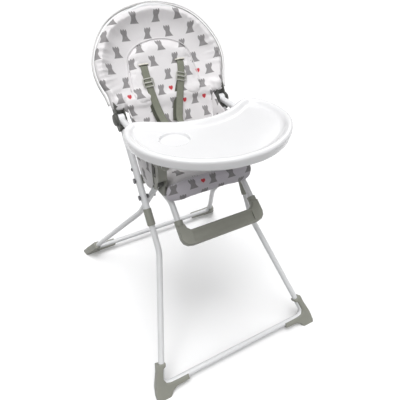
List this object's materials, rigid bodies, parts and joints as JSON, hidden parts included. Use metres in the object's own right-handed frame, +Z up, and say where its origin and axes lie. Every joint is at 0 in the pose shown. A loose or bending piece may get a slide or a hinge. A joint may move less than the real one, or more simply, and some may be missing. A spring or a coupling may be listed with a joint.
{
  "type": "baby high chair",
  "caption": "Folding baby high chair: crossed tube legs, padded back and seat in printed cloth, harness, moulded tray with a cup recess, and a footrest.",
  "frame": {"origin": "centre of the bounding box's footprint, on the floor", "axes": "+Z up, the child faces -Y, +X is to the right seen from the front of the frame looking along +Y"},
  "size_m": [0.628, 0.7504, 0.952],
  "materials": {
    "white_tube": "satin powder coat",
    "grey_plastic": "fine moulded grain",
    "dark_plastic": "moulded",
    "tray_white": "gloss",
    "cover_cloth": "printed woven cover",
    "webbing": "woven webbing",
    "steel": "dark plated",
    "pan_board": "plain"
  },
  "bodies": {
    "front_frame": {"front_lower_legs": "white_tube", "front_upper_tube_right": "white_tube", "front_upper_tube_left": "white_tube", "frame_screw_right": "steel", "frame_screw_left": "steel", "leg_collar_right": "grey_plastic", "leg_collar_left": "grey_plastic", "front_foot_right": "grey_plastic", "front_foot_left": "grey_plastic", "scissor_spacer_right": "steel", "scissor_spacer_left": "steel", "hinge_housing_right": "dark_plastic", "hinge_housing_left": "dark_plastic", "hinge_cap_right": "dark_plastic", "hinge_cap_left": "dark_plastic", "backrest_loop": "white_tube", "backrest_pad": "cover_cloth", "backrest_insert": "cover_cloth", "scissor_bolt_right": "steel", "scissor_bolt_left": "steel", "seat_pivot_bolt_right": "steel", "seat_pivot_bolt_left": "steel", "side_wing_right": "cover_cloth", "side_wing_left": "cover_cloth", "shoulder_strap_right": "webbing", "shoulder_strap_left": "webbing", "strap_slider_right": "grey_plastic", "strap_slider_left": "grey_plastic"},
    "rear_frame": {"rear_legs": "white_tube", "rear_foot_right": "grey_plastic", "rear_foot_left": "grey_plastic", "rear_leg_end_right": "dark_plastic", "rear_leg_end_left": "dark_plastic"},
    "seat": {"seat_bracket_right": "grey_plastic", "seat_bracket_left": "grey_plastic", "seat_frame": "white_tube", "seat_pan": "pan_board", "seat_side_rail_right": "pan_board", "seat_side_rail_left": "pan_board", "seat_pad": "cover_cloth", "seat_apron": "cover_cloth", "footrest": "grey_plastic", "crotch_strap": "webbing", "buckle": "grey_plastic", "waist_strap_right": "webbing", "waist_strap_left": "webbing"},
    "lock_lever_right": {"lock_lever_right": "dark_plastic"},
    "lock_lever_left": {"lock_lever_left": "dark_plastic"},
    "buckle_button": {"buckle_button": "dark_plastic"},
    "armrests": {"armrest_tube_right": "white_tube", "armrest_tube_left": "white_tube", "armrest_plug_right": "grey_plastic", "armrest_plug_left": "grey_plastic"},
    "tray": {"tray": "tray_white", "tray_runner_right": "grey_plastic", "tray_runner_left": "grey_plastic"},
    "tray_latch_right": {"tray_latch_right": "dark_plastic"},
    "tray_latch_left": {"tray_latch_left": "dark_plastic"}
  },
  "joints": [
    {"name": "rear_leg_fold", "type": "hinge", "parent": "front_frame", "child": "rear_frame", "pos_m": [0, -0.0453, 0.48989], "axis": [-1, 0, 0], "range_deg": [0, 64]},
    {"name": "seat_fold", "type": "hinge", "parent": "front_frame", "child": "seat", "pos_m": [0, -0.01783, 0.53285], "axis": [-1, 0, 0], "range_deg": [0, 70.01], "deforming": ["side_wing_right", "side_wing_left"]},
    {"name": "armrest_fold", "type": "hinge", "parent": "front_frame", "child": "armrests", "pos_m": [0, 0.07942, 0.68491], "axis": [-1, 0, 0], "range_deg": [0, 78.01]},
    {"name": "tray_slide", "type": "slide", "parent": "armrests", "child": "tray", "axis": [0, -1, 0], "range_m": [0, 0.04]},
    {"name": "tray_latch_right_pull", "type": "slide", "parent": "tray", "child": "tray_latch_right", "axis": [-1, 0, 0], "range_m": [0, 0.004], "stiffness_N_per_m": 300, "springref_m": -0.004},
    {"name": "tray_latch_left_pull", "type": "slide", "parent": "tray", "child": "tray_latch_left", "axis": [1, 0, 0], "range_m": [0, 0.004], "stiffness_N_per_m": 300, "springref_m": -0.004},
    {"name": "buckle_press", "type": "slide", "parent": "seat", "child": "buckle_button", "axis": [0, 1, 0], "range_m": [0, 0.003], "stiffness_N_per_m": 400, "springref_m": -0.003},
    {"name": "lock_lever_right_pull", "type": "hinge", "parent": "seat", "child": "lock_lever_right", "pos_m": [0.151, -0.1146, 0.622], "axis": [1, 0, 0], "range_deg": [0, 6], "stiffness_Nm_per_rad": 0.1, "springref_deg": -17.19},
    {"name": "lock_lever_left_pull", "type": "hinge", "parent": "seat", "child": "lock_lever_left", "pos_m": [-0.151, -0.1146, 0.622], "axis": [1, 0, 0], "range_deg": [0, 6], "stiffness_Nm_per_rad": 0.1, "springref_deg": -17.19}
  ],
  "couplings": [
    {"joint": "seat_fold", "follows": "rear_leg_fold", "ratio": 1.0938},
    {"joint": "armrest_fold", "follows": "rear_leg_fold", "ratio": 1.2188}
  ]
}
